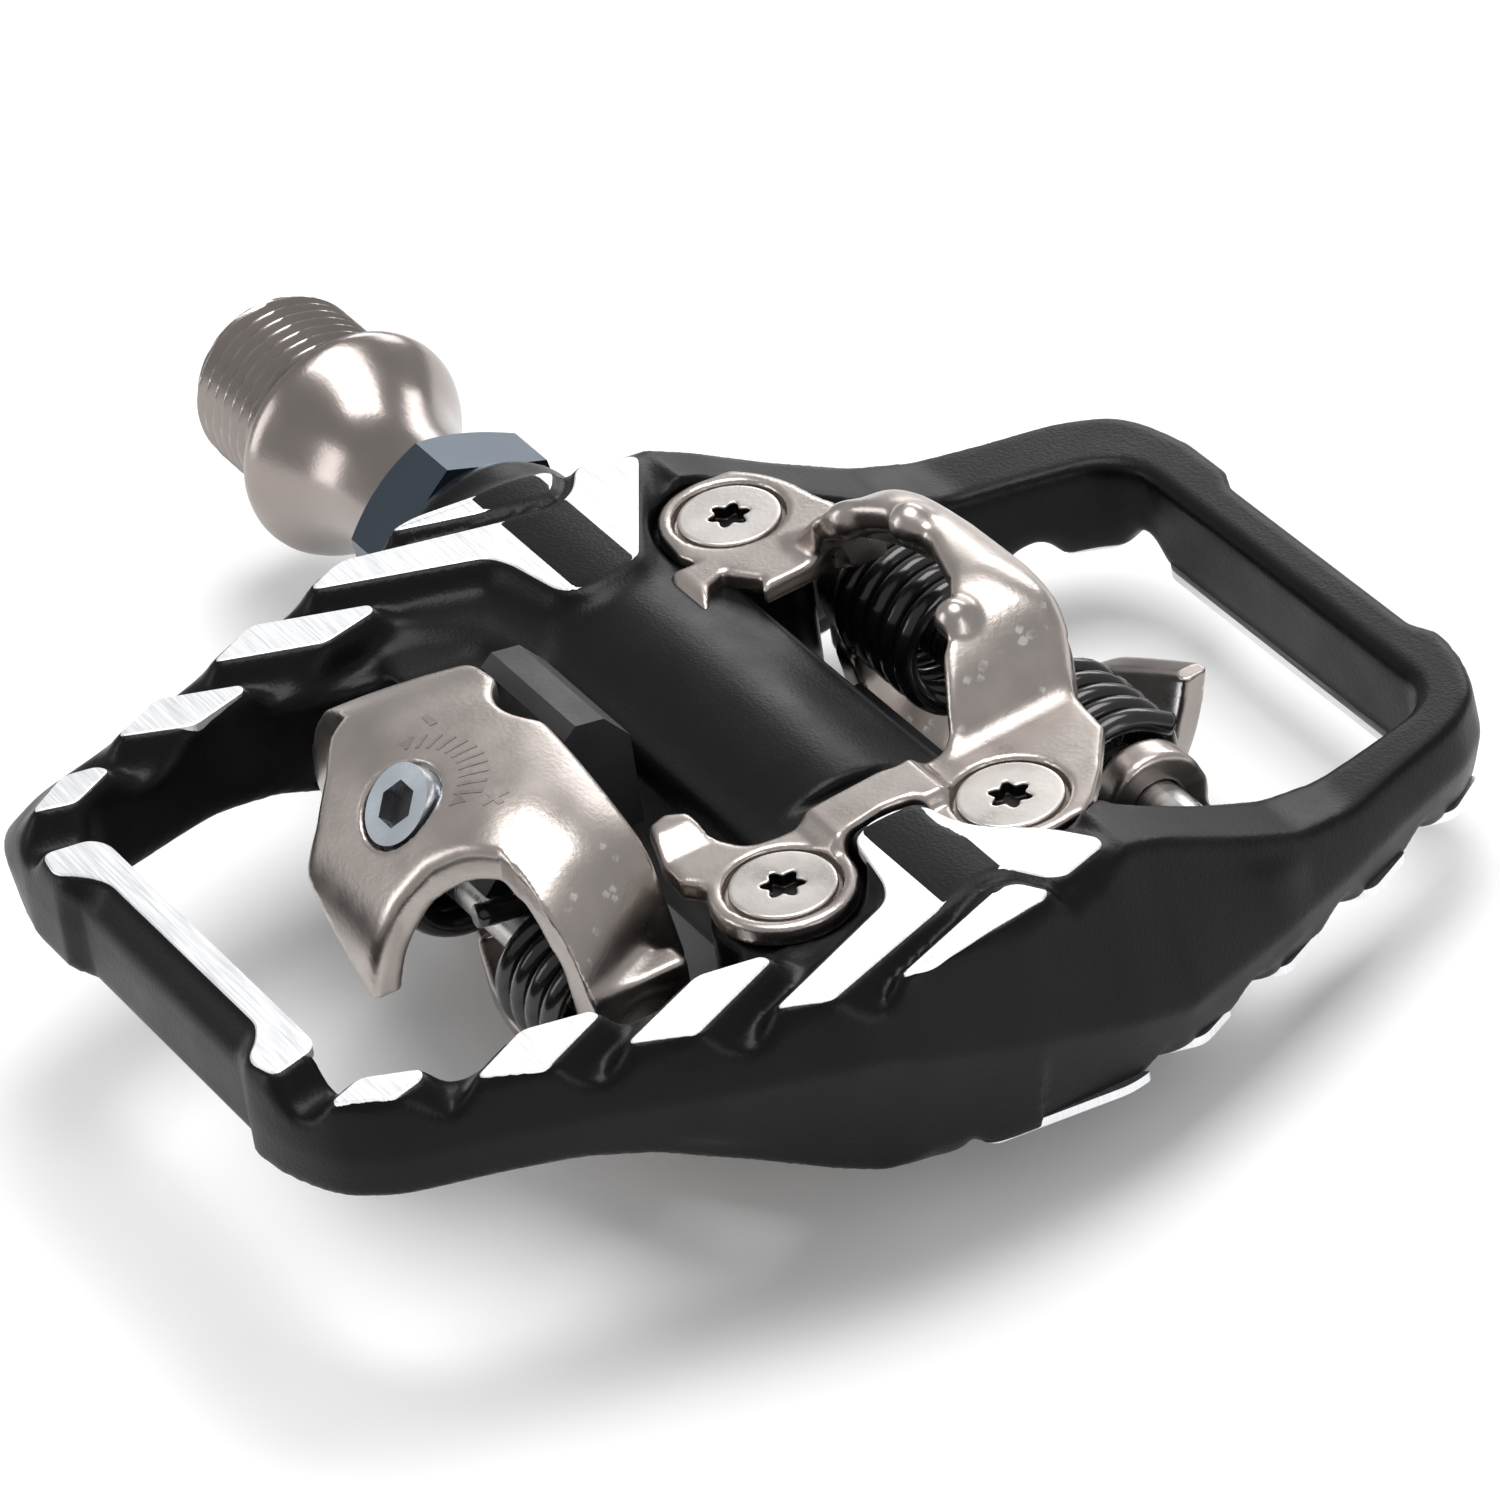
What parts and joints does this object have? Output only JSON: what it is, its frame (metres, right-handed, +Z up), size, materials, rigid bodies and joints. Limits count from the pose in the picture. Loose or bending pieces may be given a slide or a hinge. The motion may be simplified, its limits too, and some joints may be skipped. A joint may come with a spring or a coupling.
{
  "type": "clipless pedal",
  "caption": "Double-sided clipless platform pedal with diagonal machined pads, fixed and sprung cleat claws on each face, and a threaded axle.",
  "frame": {"origin": "centre of the axle flange's crank seating face", "axes": "+X along the axle away from the crank, +Y forward on a right-hand pedal, +Z up"},
  "size_m": [0.108, 0.096, 0.0304],
  "materials": {
    "axle_steel": "satin",
    "bearing_steel": "ground",
    "ball_steel": "polished",
    "cap_slate": "satin anodised",
    "seal_rubber": "matte",
    "body_black": "matte black with bright machined pads",
    "claw_silver": "satin",
    "screw_silver": "satin",
    "spring_steel": "oiled black",
    "zinc_bright": "bright zinc",
    "resin_black": "fine grain"
  },
  "bodies": {
    "axle": {"axle": "axle_steel", "cone": "bearing_steel", "lock_nut": "bearing_steel"},
    "pedal": {"lock_cap": "cap_slate", "seal_ring": "seal_rubber", "bearing_sleeve": "bearing_steel", "balls_inner": "ball_steel", "balls_outer": "ball_steel", "body": "body_black", "fixed_claw_top": "claw_silver", "fixed_claw_bottom": "claw_silver", "claw_screws_top": "screw_silver", "claw_screws_bottom": "screw_silver", "pivot_pin_top": "bearing_steel", "pivot_pin_bottom": "bearing_steel", "spring_top": "spring_steel", "spring_bottom": "spring_steel", "guide_block_top": "resin_black", "guide_block_bottom": "resin_black"},
    "claw_top": {"sprung_claw_top": "claw_silver"},
    "adjuster_top": {"tension_screw_top": "zinc_bright"},
    "nut_top": {"tension_nut_top": "zinc_bright"},
    "claw_bottom": {"sprung_claw_bottom": "claw_silver"},
    "adjuster_bottom": {"tension_screw_bottom": "zinc_bright"},
    "nut_bottom": {"tension_nut_bottom": "zinc_bright"}
  },
  "joints": [
    {"name": "pedal_spin", "type": "hinge", "parent": "axle", "child": "pedal", "pos_m": [0.0595, 0, 0], "axis": [1, 0, 0], "continuous": true},
    {"name": "claw_top_pivot", "type": "hinge", "parent": "pedal", "child": "claw_top", "pos_m": [0.0595, -0.0205, 0], "axis": [1, 0, 0], "range_deg": [0, 16], "stiffness_Nm_per_rad": 2, "springref_deg": -11.46, "deforming": ["spring_top"]},
    {"name": "tension_top_turn", "type": "hinge", "parent": "claw_top", "child": "adjuster_top", "pos_m": [0.0595, -0.0271, 0.0124], "axis": [0, -0.7071, 0.7071], "range_deg": [-725, 365]},
    {"name": "tension_top_travel", "type": "slide", "parent": "claw_top", "child": "nut_top", "axis": [0, -0.7071, 0.7071], "range_m": [-0.0007, 0.0014]},
    {"name": "claw_bottom_pivot", "type": "hinge", "parent": "pedal", "child": "claw_bottom", "pos_m": [0.0595, 0.0205, 0], "axis": [1, 0, 0], "range_deg": [0, 16], "stiffness_Nm_per_rad": 2, "springref_deg": -11.46, "deforming": ["spring_bottom"]},
    {"name": "tension_bottom_turn", "type": "hinge", "parent": "claw_bottom", "child": "adjuster_bottom", "pos_m": [0.0595, 0.0271, -0.0124], "axis": [0, 0.7071, -0.7071], "range_deg": [-725, 365]},
    {"name": "tension_bottom_travel", "type": "slide", "parent": "claw_bottom", "child": "nut_bottom", "axis": [0, 0.7071, -0.7071], "range_m": [-0.0007, 0.0014]}
  ],
  "couplings": [
    {"joint": "tension_top_turn", "follows": "tension_top_travel", "rad_per_m": -8976.7},
    {"joint": "tension_bottom_turn", "follows": "tension_bottom_travel", "rad_per_m": -8976.7}
  ]
}
